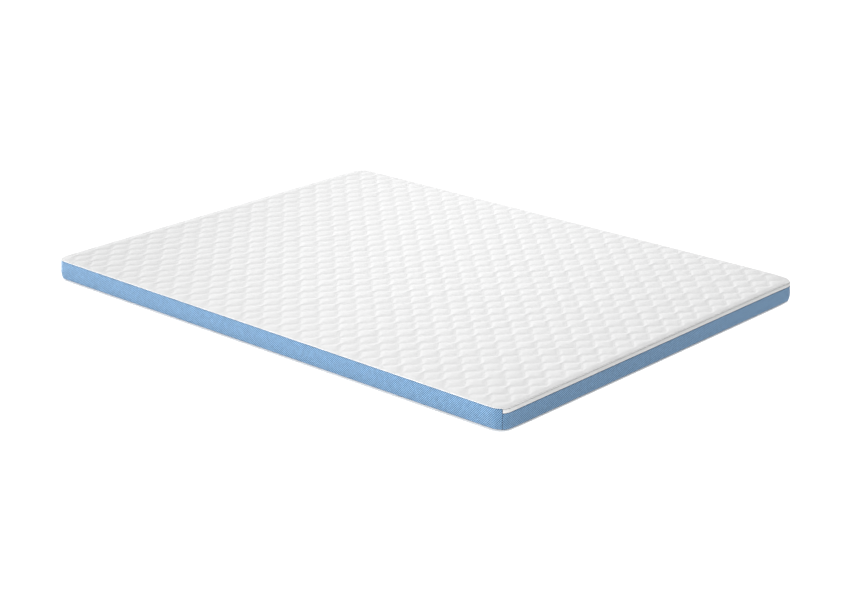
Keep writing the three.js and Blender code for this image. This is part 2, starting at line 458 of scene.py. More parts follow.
def edge_distance(x, y):
    """Distance in from the outline: the corner's radius less how far the point lies beyond the
    centres of the corners."""
    beyond_x = np.abs(x) - (HALF_WIDTH - CORNER_RADIUS)
    beyond_y = np.abs(y) - (HALF_LENGTH - CORNER_RADIUS)
    outside = np.hypot(np.maximum(beyond_x, 0), np.maximum(beyond_y, 0))
    inside = np.minimum(np.maximum(beyond_x, beyond_y), 0)
    return CORNER_RADIUS - outside - inside


def corner_bell(x, y, reach):
    """1 in the corners of the mattress, and less away from them, as a bell curve."""
    from_end = HALF_WIDTH - np.abs(x)
    from_side = HALF_LENGTH - np.abs(y)
    return np.exp(-(from_end**2 + from_side**2) / reach**2)


def foot_share(x, y):
    """1 on the foot end and 0 on the other sides, with a quick change at the corner seams: by the
    direction of the point as seen from inside the nearer foot corner."""
    beyond_x = np.abs(x) - (HALF_WIDTH - FOOT_TURN_INSIDE)
    beyond_y = -y - (HALF_LENGTH - FOOT_TURN_INSIDE)
    turn = np.degrees(np.arctan2(beyond_x, beyond_y))
    share = np.clip((FOOT_TURN_END_DEGREES - turn) / FOOT_TURN_SPREAD_DEGREES, 0, 1)
    return np.where(beyond_y > 0, share, 0)


def bell(distance, spread):
    """1 at no distance, and less away from it on both sides, as a bell curve."""
    return np.exp(-((distance / spread) ** 2))


def settled(points):
    """Points moved from the even form to that of a filled cover that has been lain on.

    Near the right foot corner the filling sinks, by a share that grows from the bottom seam up.
    At all corners the side is drawn in towards its seams, as a power of the distance from half
    the height, more so on the right, and bulges low down. The panel falls towards its corners,
    most of all at the left head corner and the right foot corner. The seams of the long border
    lie a little higher than those of the foot end, and the foot end bulges above the floor.
    """
    x, y, z = points[..., 0], points[..., 1], points[..., 2]
    to_right, to_foot = x / HALF_WIDTH, -y / HALF_LENGTH
    share = np.clip((z - BOTTOM_SEAM) / (EDGE_CREST - BOTTOM_SEAM), 0, 1)
    sink = CORNER_SAG * corner_bell(x, y, CORNER_SAG_REACH) * share
    sink = sink * (1 + to_right) / 2 * (1 + to_foot) / 2
    above = np.clip((z - BORDER_HIGH) / (EDGE_CREST - BORDER_HIGH), 0, None)
    fall = CORNER_FALL * corner_bell(x, y, CORNER_FALL_REACH) * above
    fall = fall * (CORNER_FALL_LEAST + CORNER_FALL_GAIN * np.abs(to_right + to_foot))
    foot = foot_share(x, y)
    lift = LONG_SEAM_LIFT * (1 - foot) * bell(z - BORDER_HIGH, LONG_SEAM_SPREAD)
    beside = bell(z - BOTTOM_SEAM, LOW_SEAM_SPREAD) * np.clip(z / BOTTOM_SEAM, 0, 1)
    lift = lift + (LOW_SEAM_LIFT * (1 - foot) - LOW_SEAM_DROP * foot) * beside
    corner = corner_bell(x, y, CORNER_TUCK_REACH)
    middle = (BORDER_LOW + BORDER_HIGH) / 2
    from_middle = ((z - middle) / middle) ** CORNER_TUCK_POWER
    tucked = CORNER_TUCK * (1 + CORNER_TUCK_GAIN * to_right) * corner * from_middle
    tucked = tucked - CORNER_BULGE * corner * bell(z - CORNER_BULGE_HEIGHT, CORNER_BULGE_SPREAD)
    bulge = FOOT_BULGE * foot * bell(z, FOOT_BULGE_SPREAD) * (1 - corner)
    moved_x = x - np.sign(x) * tucked * math.sqrt(0.5)
    moved_y = y - np.sign(y) * tucked * math.sqrt(0.5) - bulge
    return joined(moved_x, moved_y, z - sink - fall + lift)


# The quilted top


def channel_y(x, number, sizes):
    """Y of a channel at x: its middle line plus a zigzag with softened turns, which is the
    arcsine of a sharpness times a cosine. Odd channels swing half a pitch later."""
    turn = 2 * math.pi * (x - FIRST_PAD_X) / PAD_PITCH + math.pi * number
    sharp = sizes.channel_sharpness
    zigzag = -np.arcsin(sharp * np.cos(turn)) / math.asin(sharp)
    middle = FIRST_CHANNEL_Y + (number // 2) * ROW_PAIR_PITCH + (number % 2) * LARGE_ROW
    return middle + sizes.channel_swing * zigzag


def channel_number(x, y, sizes):
    """Number of the channel just below a point, counted from the foot towards the head."""
    pair = np.floor((y - FIRST_CHANNEL_Y) / ROW_PAIR_PITCH)
    number = 2 * pair - 2
    for step in range(4):
        number = number + (y >= channel_y(x, 2 * pair - 1 + step, sizes))
    return number


def channel_distance(x, y, sizes):
    """Distance in plan to the nearest channel: the least distance to closely spaced points on
    the channels around one repeat of the pattern, to which the point is moved."""
    local_x = np.mod(x - FIRST_PAD_X, PAD_PITCH) + FIRST_PAD_X
    local_y = np.mod(y - FIRST_CHANNEL_Y, ROW_PAIR_PITCH) + FIRST_CHANNEL_Y
    reach = np.arange(-CHANNEL_MARGIN, PAD_PITCH + CHANNEL_MARGIN, CHANNEL_STEP) + FIRST_PAD_X
    lines = [joined(reach, channel_y(reach, n, sizes)) for n in range(-1, 4)]
    points = np.concatenate(lines).astype(np.float32)
    found = np.empty(local_x.size, np.float32)
    flat_x = local_x.ravel().astype(np.float32)
    flat_y = local_y.ravel().astype(np.float32)
    for start in range(0, flat_x.size, POINTS_AT_ONCE):
        part = slice(start, start + POINTS_AT_ONCE)
        away = (flat_x[part, None] - points[:, 0]) ** 2 + (flat_y[part, None] - points[:, 1]) ** 2
        found[part] = away.min(axis=1)
    return np.sqrt(found).reshape(x.shape).astype(float)


def pad_height(x, y, sizes):
    """Height of the cloth above its channels: the pad's rise times one less the exponential of
    minus a power of the distance to the channel, by which a pad is full in its middle and a
    narrow neck stays low. Slow waves make the pads a little uneven, and they are fuller towards
    the head."""
    even_row = np.mod(channel_number(x, y, sizes), 2) < 0.5
    rise = sizes.pad_rise * np.where(even_row, 1.0, sizes.small_pad_share)
    full = 1 - np.exp(-((channel_distance(x, y, sizes) / sizes.shoulder) ** sizes.shoulder_power))
    fullness = 1 + HEAD_FULLNESS * y / HALF_LENGTH
    for share, turn_x, turn_y, start in PAD_WAVES:
        fullness = fullness + share * np.sin(turn_x * x + turn_y * y + start)
    return rise * full * fullness


def panel_height(x, y, sizes):
    """Height of the panel: its ground, with a low crown that fades to the edges, plus the pads,
    which flatten towards the edge, less a soft fall, whose slope eases off inwards as a cosine
    of the distance to the edge, and a lip down to the rim, which is an exponential of it."""
    across = np.maximum(1 - (x / HALF_WIDTH) ** 2, 0)
    along = np.maximum(1 - (y / HALF_LENGTH) ** 2, 0)
    even = EVEN_LEVEL * sizes.pad_rise
    ground = EDGE_CREST - EDGE_DROP - sizes.pad_rise + even
    ground = ground + (CROWN + EDGE_DROP) * across * along
    inward = edge_distance(x, y)
    flatten = np.clip(inward / PAD_FADE_WIDTH, 0, 1)
    pads = (pad_height(x, y, sizes) - even) * flatten * flatten * (3 - 2 * flatten)
    eased = np.clip(inward / SOFT_EDGE, 0, 1)
    soft = SOFT_FALL * (1 - eased - np.sin(math.pi * eased) / math.pi)
    lip = ground - SOFT_FALL - (PANEL_LOW + RIM_HEIGHT)
    width = LIP_WIDTH + (CORNER_LIP_WIDTH - LIP_WIDTH) * corner_bell(x, y, CORNER_TUCK_REACH)
    return ground + pads - soft - lip * np.exp(-inward / width)


def panel_columns():
    """X of the panel's columns: those of the pads, and those of the rim on both sides."""
    edge = HALF_WIDTH - PANEL_INSET
    inner = edge - RIM_WIDTH - RIM_CLEARANCE
    step = PAD_PITCH / COLUMNS_PER_PAD
    first = math.ceil((-inner - FIRST_PAD_X) / step)
    last = math.floor((inner - FIRST_PAD_X) / step)
    pads = FIRST_PAD_X + step * np.arange(first, last + 1)
    rim = np.append(RIM_LINES, RIM_WIDTH)
    return np.concatenate([-edge + rim, pads, (edge - rim)[::-1]])


def panel_rows(x, sizes):
    """Y of the panel's points in each column, and the table of point numbers.

    A line of points lies on each channel and in the middle of each row. Between them, lines
    keep their distances from the channel, and draw together where the row is narrow. Lines that
    would pass the rim stop at it, where they share one point.
    """
    radius = CORNER_RADIUS - PANEL_INSET
    beyond = np.clip(np.abs(x) - (HALF_WIDTH - CORNER_RADIUS), 0, radius)
    limit = HALF_LENGTH - CORNER_RADIUS + np.sqrt(radius**2 - beyond**2)
    inner = limit - RIM_WIDTH
    pairs = int(math.ceil(HALF_LENGTH / ROW_PAIR_PITCH)) + 1
    rows = []
    for number in range(-2 * pairs, 2 * pairs):
        low = channel_y(x, number, sizes)
        high = channel_y(x, number + 1, sizes)
        half = (high - low) / 2
        away = [np.minimum(far, share * half) for far, share in zip(LINE_DISTANCES, LINE_SHARES)]
        rows.extend([low + part for part in away] + [low + half])
        rows.extend(high - part for part in away[:0:-1])
    pattern = np.stack(rows)
    pattern = pattern[(pattern > -inner).any(axis=1) & (pattern < inner).any(axis=1)]
    pattern = np.clip(pattern, -inner, inner)
    insets = RIM_LINES[:, None]
    table_y = np.concatenate([-limit + insets, pattern, (limit - insets)[::-1]])
    first = len(insets)
    last = first + len(pattern) - 1
    low_row = np.maximum(first + (pattern <= -inner).sum(axis=0) - 1, first)
    high_row = np.minimum(first + (pattern < inner).sum(axis=0), last)
    row = np.arange(len(table_y))[:, None] + np.zeros(len(x), int)
    inside = (row >= first) & (row <= last)
    row = np.where(inside, np.clip(row, low_row, high_row), row)
    return table_y, row * len(x) + np.arange(len(x))


def rim_of(index):
    """The numbers round the edge of a table of points, each once, counter-clockwise."""
    rim = np.concatenate([index[0, :-1], index[:-1, -1], index[-1, :0:-1], index[:0:-1, 0]])
    return rim[rim != np.roll(rim, 1)]


def packed(vertices, faces):
    """Points and faces without the points that no face uses."""
    used = np.unique(np.concatenate([part.ravel() for part in faces]))
    place = np.zeros(len(vertices), int)
    place[used] = np.arange(len(used))
    return vertices[used], [place[part] for part in faces]


class MATTRESS_OT_quilted_panel(bpy.types.Operator):
    """Makes the white top panel with its rows of quilted pads"""

    bl_idname = "mattress.quilted_panel"
    bl_label = "Quilted panel"

    # Insets of the rim's lower lines, and their heights above the seam
    RIM_PROFILE = ((-0.1 * MM, 1.9 * MM), (0.2 * MM, 1.1 * MM), (0.9 * MM, 0.4 * MM), (2.0 * MM, 0.0))

    def execute(self, context):
        sizes = context.scene.mattress_sizes
        columns = panel_columns()
        table_y, index = panel_rows(columns, sizes)
        table_z = panel_height(columns + 0 * table_y, table_y, sizes)
        top = joined(columns, table_y, table_z).reshape(-1, 3)
        rim = rim_of(index)
        rings = [self.ring_below(top[rim], inset, rise) for inset, rise in self.RIM_PROFILE]
        under = len(top) + np.arange(len(rim) * len(rings)).reshape(len(rings), len(rim))
        edge = grid_faces(np.concatenate([under[::-1], rim[None]]), closed=True)
        faces = without_collapsed(grid_faces(index)) + [edge, under[None, -1, ::-1]]
        vertices, faces = packed(np.concatenate([top] + rings), faces)
        panel = mesh_object("quilted_panel", settled(vertices), faces)
        set_uv(panel, "channel", self.channel_map(vertices, sizes))
        finish_piece(panel, quilted_cloth(context), "quilted_cloth", "quilted_top")
        return {"FINISHED"}

    @staticmethod
    def ring_below(rim, inset, rise):
        """The rim's points, moved in towards the middle of the panel, at a height."""
        inward = 1 - inset / np.hypot(rim[:, 0], rim[:, 1])
        return joined(rim[:, 0] * inward, rim[:, 1] * inward, PANEL_LOW + rise)

    @staticmethod
    def channel_map(vertices, sizes):
        """U is the distance along the nearest channel, as X stretched by the zigzag's slope, and
        V the distance to it."""
        x, y = vertices[:, 0], vertices[:, 1]
        stretch = math.hypot(1, 4 * sizes.channel_swing / PAD_PITCH)
        return joined(x * stretch, channel_distance(x, y, sizes))


# The border, the foot strips and the bottom cloth


def tuck(distance, size):
    """Inset of a cloth beside its seam or fold: a depth that dies out as an exponential."""
    depth, reach = size
    return depth * np.exp(-distance / reach)


def border_inset(z, low, high):
    """Inset of the border's face at a height: a bow that is fullest half way up, and a tuck into
    the seam at either end."""
    middle = (low + high) / 2
    bow = BORDER_BOW * ((z - middle) / (high - middle)) ** 2
    return bow + tuck(high - z, SEAM_TUCK) + tuck(z - low, SEAM_TUCK)


def seam_pucker(along, z, low, high):
    """Small waves beside a seam, where the stitches draw the cloth in: a quick and a slow sine
    along the seam, which die out away from it."""
    near = tuck(high - z, PUCKER) + tuck(z - low, PUCKER)
    quick = np.sin(along * QUICK_TURN + DRIFT * np.sin(along * DRIFT_TURN))
    return near * (quick + SLOW_SHARE * np.sin(along * SLOW_TURN + SLOW_START))


def level_heights(low, high, count):
    """Heights from low to high, closer together at both ends: a mean of cosine and even steps."""
    step = np.linspace(0, 1, count)
    eased = (1 - np.cos(math.pi * step)) / 2
    return low + (high - low) * (CLOSE_SHARE * eased + (1 - CLOSE_SHARE) * step)


def wall(along, heights, inset):
    """A table of a wall along the outline, with a row for each height: X, Y and Z of its points,
    and U and V of its cloth, the distance along and the height. The inset is a function of both."""
    s, z = np.meshgrid(along, heights)
    return joined(*outline_point(s, inset(s, z)), z, s, z)


def add_wall_maps(obj, table, low, high):
    """Maps of the cloth of a wall, and of the distances from its upper and its lower seam."""
    set_uv(obj, "cloth", table[..., 3:])
    set_uv(obj, "edges", joined(high - table[..., 4], table[..., 4] - low))


def lidded_ring(name, table):
    """A closed wall of rows of points round the mattress, the lowest row first, with a flat lid
    below and above."""
    index = numbered(table)
    faces = [grid_faces(index, closed=True), index[None, 0, ::-1], index[None, -1, :]]
    return mesh_object(name, settled(table[..., :3]).reshape(-1, 3), faces)


class MATTRESS_OT_mesh_border(bpy.types.Operator):
    """Makes the blue air mesh round both long sides and the head, on the filled body"""

    bl_idname = "mattress.mesh_border"
    bl_label = "Long border"

    def execute(self, context):
        heights = level_heights(BORDER_LOW, BORDER_HIGH, BORDER_ROWS)
        long = along_steps(FOOT_LENGTH - CORNER_SEAM, OUTLINE_LENGTH + CORNER_SEAM)
        foot = along_steps(CORNER_SEAM, FOOT_LENGTH - CORNER_SEAM, step=RECESS_STEP)
        recess = wall(foot, heights, lambda along, z: STRIP_THICKNESS + SEAM_GAP)
        table = np.concatenate([wall(long, heights, self.outer_inset), recess], axis=1)
        border = lidded_ring("long_border", table)
        add_wall_maps(border, table, BORDER_LOW, BORDER_HIGH)
        finish_piece(border, air_mesh(context, "long_mesh", **LONG_MESH), "air_mesh", "mesh_border")
        return {"FINISHED"}

    @staticmethod
    def outer_inset(along, z):
        """A bow, a tuck into the seam at either end, and puckers."""
        pucker = seam_pucker(along, z, BORDER_LOW, BORDER_HIGH)
        return border_inset(z, BORDER_LOW, BORDER_HIGH) + pucker


def foot_cloth(name, low, high, count, outer_inset):
    """A closed strip of the foot end, from corner seam to corner seam: an outer face with its own
    inset, and a flat back that lies on the filling."""
    along = along_steps(CORNER_SEAM + SEAM_GAP, FOOT_LENGTH - CORNER_SEAM - SEAM_GAP)
    face = wall(along, level_heights(low, high, count), outer_inset)
    table = np.concatenate([face, wall(along, [high, low], lambda along, z: STRIP_THICKNESS)])
    index = numbered(table)
    ring = np.concatenate([index, index[:1]])
    faces = [grid_faces(ring), index[None, ::-1, 0], index[None, :, -1]]
    strip = mesh_object(name, settled(table[..., :3]).reshape(-1, 3), faces)
    add_wall_maps(strip, table, low, high)
    return strip


class MATTRESS_OT_foot_strip(bpy.types.Operator):
    """Makes the lower strip of air mesh on the foot end"""

    bl_idname = "mattress.foot_strip"
    bl_label = "Foot strip"

    def execute(self, context):
        strip = foot_cloth("foot_strip", BORDER_LOW, STRIP_HIGH, FOOT_ROWS, self.outer_inset)
        finish_piece(strip, air_mesh(context, "foot_mesh", **FOOT_MESH), "air_mesh", "foot_border")
        return {"FINISHED"}

    @staticmethod
    def outer_inset(along, z):
        """A shallow bow, a tuck into the seam below, a fold under the band above, and puckers."""
        bow = border_inset(z, BORDER_LOW - STRIP_BOW_MARGIN, BORDER_HIGH + STRIP_BOW_MARGIN)
        drawn_in_and_painted_shade = tuck(z - BORDER_LOW, SEAM_TUCK) + tuck(STRIP_HIGH - z, STRIP_FOLD)
        return STRIP_INSET + bow + drawn_in_and_painted_shade + seam_pucker(along, z, BORDER_LOW, STRIP_HIGH)


class MATTRESS_OT_zip_band(bpy.types.Operator):
    """Makes the white band that lies above the mesh on the foot end"""

    bl_idname = "mattress.zip_band"
    bl_label = "Zip band"

    def execute(self, context):
        band = foot_cloth("zip_flap", BAND_LOW, BORDER_HIGH, BAND_ROWS, self.outer_inset)
        white = context.scene.mattress_colours.plain_white
        # The flap carries painted shade beside its upper seam.
        material = plain_cloth("zip_flap", white, drawn_in_and_painted_shade=0.75)
        finish_piece(band, material, "plain_cloth", "zip_band")
        return {"FINISHED"}

    @staticmethod
    def outer_inset(along, z):
        """A fold at the lower edge, a tuck into the seam above, and puckers."""
        drawn_in_and_painted_shade = tuck(z - BAND_LOW, BAND_FOLD) + tuck(BORDER_HIGH - z, BAND_TUCK)
        pucker = seam_pucker(along, z, BAND_LOW - BAND_PUCKER_MARGIN, BORDER_HIGH)
        return BAND_INSET + drawn_in_and_painted_shade + BAND_PUCKER_SHARE * pucker


class MATTRESS_OT_bottom_cloth(bpy.types.Operator):
    """Makes the plain cloth of the underside, whose edge curls up to the border"""

    bl_idname = "mattress.bottom_cloth"
    bl_label = "Bottom cloth"

    def execute(self, context):
        along = along_steps(0, OUTLINE_LENGTH)[:-1]
        turn = np.linspace(0, math.pi / 2, ROLL_STEPS)
        below = np.array(BOTTOM_TUCK)
        inset = np.append(ROLL_INSET + ROLL_DEPTH * (1 - np.sin(turn)), below[:, 0])
        z = np.append(ROLL_HEIGHT * (1 - np.cos(turn)), BOTTOM_SEAM - below[:, 1])
        x, y = outline_point(along, inset[:, None])
        cloth = lidded_ring("bottom_cloth", joined(x, y, z[:, None]))
        material = plain_cloth("bottom_cloth", context.scene.mattress_colours.bottom_white)
        finish_piece(cloth, material, "plain_cloth", "bottom_panel")
        return {"FINISHED"}


# Stitches


def stitch_points(length, thickness):
    """One stitch along X: rings of a circle that swell from one end to the other."""
    turn = np.linspace(0, 2 * math.pi, STITCH_SIDES, endpoint=False)
    place, girth = np.array(STITCH_PROFILE).T[:, :, None]
    radius = girth * thickness / 2
    return joined(place * length, radius * np.cos(turn), radius * np.sin(turn))


def stitch_row(name, centres, directions, outwards, length, thickness):
    """Many stitches in one mesh: a copy of one stitch at each centre, along its direction, with
    its height along the outward normal."""
    template = stitch_points(length, thickness)
    local = template.reshape(-1, 3)
    points = centres[:, None, :]
    for axis, turned in enumerate((directions, np.cross(outwards, directions), outwards)):
        points = points + local[None, :, axis, None] * turned[:, None, :]
    index = numbered(template)
    ends = np.stack([index[0, ::-1], index[-1]])
    shift = (np.arange(len(centres)) * len(local))[:, None, None]
    shells = grid_faces(index, closed=True) + shift
    faces = [shells.reshape(-1, 4), (ends + shift).reshape(-1, STITCH_SIDES)]
    return mesh_object(name, settled(points.reshape(-1, 3)), faces)


def side_frame(along, inset, z):
    """Point, direction along the outline and outward normal at each distance along it."""
    x, y = outline_point(along, inset)
    ahead_x, ahead_y = outline_point(along + DIRECTION_STEP, inset)
    direction = joined(ahead_x - x, ahead_y - y, 0.0)
    direction /= np.linalg.norm(direction, axis=1)[:, None]
    return joined(x, y, z), direction, joined(direction[:, 1], -direction[:, 0], 0.0)


class MATTRESS_OT_seam_stitches(bpy.types.Operator):
    """Makes the stitches in the two corner seams and along the white band"""

    bl_idname = "mattress.seam_stitches"
    bl_label = "Seam stitches"

    def execute(self, context):
        colours = context.scene.mattress_colours
        lowest = BORDER_LOW + CORNER_STITCHES_ABOVE
        heights = np.arange(lowest, BORDER_HIGH - CORNER_STITCHES_BELOW, CORNER_STITCH_PITCH)
        seams = np.repeat([CORNER_SEAM, FOOT_LENGTH - CORNER_SEAM], len(heights))
        centre, _, outward = side_frame(seams, CORNER_STITCH_INSET, np.tile(heights, 2))
        upwards = np.tile([0.0, 0.0, 1.0], (len(seams), 1))
        corner = stitch_row("corner_stitches", centre, upwards, outward, **CORNER_STITCH)
        finish_piece(corner, thread("blue_thread", colours.blue_thread), "air_mesh")
        along = np.arange(BAND_STITCH_MARGIN, FOOT_LENGTH - BAND_STITCH_MARGIN, BAND_STITCH_PITCH)
        height = BAND_LOW + BAND_STITCH_HEIGHT
        centre, direction, outward = side_frame(along, BAND_STITCH_INSET, height)
        band = stitch_row("band_stitches", centre, direction, outward, **BAND_STITCH)
        finish_piece(band, thread("white_thread", colours.plain_white), "plain_cloth")
        return {"FINISHED"}


# Materials


def new_material(name, roughness, sheen):
    """A cloth material, its shader and its node tree."""
    material = bpy.data.materials.new(name)
    material.use_nodes = True
    tree = material.node_tree
    shader = tree.nodes["Principled BSDF"]
    shader.inputs["Roughness"].default_value = roughness
    shader.inputs["Sheen Weight"].default_value = sheen
    shader.inputs["Sheen Roughness"].default_value = 0.5
    shader.inputs["Specular IOR Level"].default_value = 0.25
    return material, tree, shader


def node(tree, kind, inputs=(), **settings):
    """A node with its settings, and with its inputs from sockets or plain values, by their names
    or numbers."""
    made = tree.nodes.new(kind)
    for name, value in settings.items():
        setattr(made, name, value)
    for name, value in dict(inputs).items():
        if isinstance(value, bpy.types.NodeSocket):
            tree.links.new(value, made.inputs[name])
        else:
            made.inputs[name].default_value = value
    return made


def calculate(tree, operation, *values):
    """A sum, product or the like of one or two values, each a socket or a number."""
    return node(tree, "ShaderNodeMath", enumerate(values), operation=operation).outputs[0]


def coordinates(tree, uv_map=None):
    """A source of coordinates and its X, Y and Z: the object's, or U and V of a UV map."""
    if uv_map is None:
        source = node(tree, "ShaderNodeTexCoord").outputs["Object"]
    else:
        source = node(tree, "ShaderNodeUVMap", uv_map=uv_map).outputs["UV"]
    return source, *node(tree, "ShaderNodeSeparateXYZ", {0: source}).outputs


def ripple(tree, value, pitch):
    """A cosine of a length, one wave to each pitch."""
    return calculate(tree, "COSINE", calculate(tree, "MULTIPLY", value, 2 * math.pi / pitch))


def mix(tree, share, first, second, data_type="RGBA", **settings):
    """A mix of two colours or values, each a socket or plain, by a share."""
    inputs = {"Factor": share, "A": first, "B": second}
    mixed = node(tree, "ShaderNodeMix", inputs, data_type=data_type, **settings)
    return mixed.outputs["Result"]


def mix_colours(tree, share, low, high):
    """A colour between two, by a share."""
    return mix(tree, share, (*low, 1), (*high, 1))


def multiply_colours(tree, first, second):
    return mix(tree, 1.0, first, second, blend_type="MULTIPLY")


def smooth_step(tree, value, start, end, low=0.0, high=1.0):
    """A value brought softly from low, where it is at the start, to high, at the end."""
    inputs = {"Value": value, "From Min": start, "From Max": end, "To Min": low, "To Max": high}
    step = node(tree, "ShaderNodeMapRange", inputs, interpolation_type="SMOOTHSTEP")
    return step.outputs["Result"]


def add_bump(tree, shader, height, distance, strength=1.0, under=None):
    """Bump from a height between 0 and 1, over any bump that lies under it."""
    inputs = {"Height": height, "Distance": distance, "Strength": strength}
    if under is not None:
        inputs["Normal"] = under
    normal = node(tree, "ShaderNodeBump", inputs).outputs["Normal"]
    tree.links.new(normal, shader.inputs["Normal"])
    return normal


def from_wave(tree, wave):
    """A wave between -1 and 1, brought to between 0 and 1."""
    return calculate(tree, "ADD", calculate(tree, "MULTIPLY", wave, 0.5), 0.5)


def knit_height(tree, across, along, pitch):
    """Height of a fine plain knit: ribs across, each made of a row of loops, as the product of
    two cosines, brought to between 0 and 1."""
    ribs = ripple(tree, across, pitch)
    loops = ripple(tree, along, 0.8 * pitch)
    return from_wave(tree, calculate(tree, "MULTIPLY", ribs, loops))


def cloud(tree, source, scale, detail=3):
    """Soft noise between 0 and 1."""
    inputs = {"Vector": source, "Scale": scale, "Detail": detail}
    return node(tree, "ShaderNodeTexNoise", inputs).outputs["Fac"]


def shade_of(colour, factor):
    return tuple(channel * factor for channel in colour)


def clouded(tree, source, colour, scale, darkest, lightest):
    """A colour that drifts in soft clouds between two of its shades."""
    clouds = cloud(tree, source, scale)
    return mix_colours(tree, clouds, shade_of(colour, darkest), shade_of(colour, lightest))


def shaded_at_seam(tree, colour, distance, start, end, shade):
    """A colour with painted shade where the cloth is drawn into a seam: darker by a shade up to a
    distance from it, which eases off to none at another."""
    seam = smooth_step(tree, distance, start, end)
    return multiply_colours(tree, colour, mix_colours(tree, seam, (shade,) * 3, (1, 1, 1)))


def quilted_cloth(context):
    """White knitted cloth: a fine knit, faint clouds in its white, small wrinkles, and stitches
    in the channels."""
    white = context.scene.mattress_colours.quilt_white
    material, tree, shader = new_material("quilted_cloth", roughness=0.85, sheen=0.15)
    source, x, y, _ = coordinates(tree)
    tint = clouded(tree, source, white, scale=9, darkest=0.975, lightest=1.02)
    tree.links.new(tint, shader.inputs["Base Color"])
    _, along, distance, _ = coordinates(tree, "channel")
    near = calculate(tree, "LESS_THAN", distance, CHANNEL_STITCH_WIDTH)
    beat = ripple(tree, along, CHANNEL_STITCH_PITCH)
    stitch = calculate(tree, "GREATER_THAN", beat, CHANNEL_STITCH_LEVEL)
    stitch = calculate(tree, "MULTIPLY", near, stitch)
    knit = knit_height(tree, x, y, pitch=1.5 * MM)
    knitted = add_bump(tree, shader, knit, distance=0.12 * MM, strength=0.6)
    wrinkles = cloud(tree, source, scale=48, detail=4)
    wrinkled = add_bump(tree, shader, wrinkles, distance=0.9 * MM, under=knitted)
    add_bump(tree, shader, stitch, distance=0.35 * MM, strength=0.8, under=wrinkled)
    return material


def plain_cloth(name, white, drawn_in_and_painted_shade=None):
    """Plain white knitted cloth, which may carry painted shade where it is drawn into its upper seam.
    """
    material, tree, shader = new_material(name, roughness=0.85, sheen=0.1)
    source, x, y, z = coordinates(tree)
    tint = clouded(tree, source, white, scale=14, darkest=0.97, lightest=1.03)
    if drawn_in_and_painted_shade is not None:
        _, from_top, _, _ = coordinates(tree, "edges")
        # Painted shade beside the upper seam
        tint = shaded_at_seam(tree, tint, from_top, 0.6 * MM, 2.4 * MM, drawn_in_and_painted_shade)
    tree.links.new(tint, shader.inputs["Base Color"])
    knit = knit_height(tree, calculate(tree, "ADD", x, y), z, pitch=1.4 * MM)
    add_bump(tree, shader, knit, distance=0.15 * MM, strength=0.7)
    return material


def air_mesh(context, name, lean, relief, softness, painted_shade_tone, drawn_in_and_painted_shade):
    """Blue air mesh: open holes in staggered rows, as the sum of two crossed cosines, with dark
    bottoms, partly painted shade of their depth, and lighter threads between them. A lean above 1
    joins the holes along rows that fall along the cloth, and one below 1 along rows that rise. The
    holes fade into the threads over the softness. The tone paints shade over the whole cloth, and
    the drawn-in share paints shade on the cloth beside its seams."""
    colours = context.scene.mattress_colours
    pitch = context.scene.mattress_sizes.mesh_pitch
    material, tree, shader = new_material(name, roughness=0.6, sheen=0.2)
    _, along, up, _ = coordinates(tree, "cloth")
    rows = calculate(tree, "MULTIPLY", up, MESH_ROW_RATIO)
    rising = ripple(tree, calculate(tree, "ADD", along, rows), pitch)
    falling = ripple(tree, calculate(tree, "SUBTRACT", along, rows), pitch)
    first = calculate(tree, "MULTIPLY", rising, lean)
    second = calculate(tree, "MULTIPLY", falling, 2 - lean)
    both = calculate(tree, "ADD", first, second)
    share = smooth_step(tree, both, HOLE_EDGE + softness, HOLE_EDGE - softness)
    blue = mix_colours(tree, share, colours.mesh_hole, colours.mesh_thread)
    source, _, _, _ = coordinates(tree)
    # The tone paints shade over the whole cloth, darker on the foot end; the clouds in it are random
    shades = clouded(tree, source, (painted_shade_tone,) * 3, scale=85, darkest=0.66, lightest=1.14)
    uneven = multiply_colours(tree, blue, shades)
    _, from_top, from_bottom, _ = coordinates(tree, "edges")
    nearest = calculate(tree, "MINIMUM", from_top, from_bottom)
    # Painted shade beside both seams
    tint = shaded_at_seam(tree, uneven, nearest, 0.4 * MM, 2.2 * MM, drawn_in_and_painted_shade)
    tree.links.new(tint, shader.inputs["Base Color"])
    add_bump(tree, shader, share, distance=0.7 * MM, strength=relief)
    return material


def thread(name, colour):
    """Sewing thread with a fine twist."""
    material, tree, shader = new_material(name, roughness=0.5, sheen=0.2)
    _, x, y, z = coordinates(tree)
    slant = calculate(tree, "ADD", calculate(tree, "ADD", x, y), z)
    twist = from_wave(tree, ripple(tree, slant, 0.5 * MM))
    tint = mix_colours(tree, twist, shade_of(colour, 0.8), colour)
    tree.links.new(tint, shader.inputs["Base Color"])
    return material


# Studio


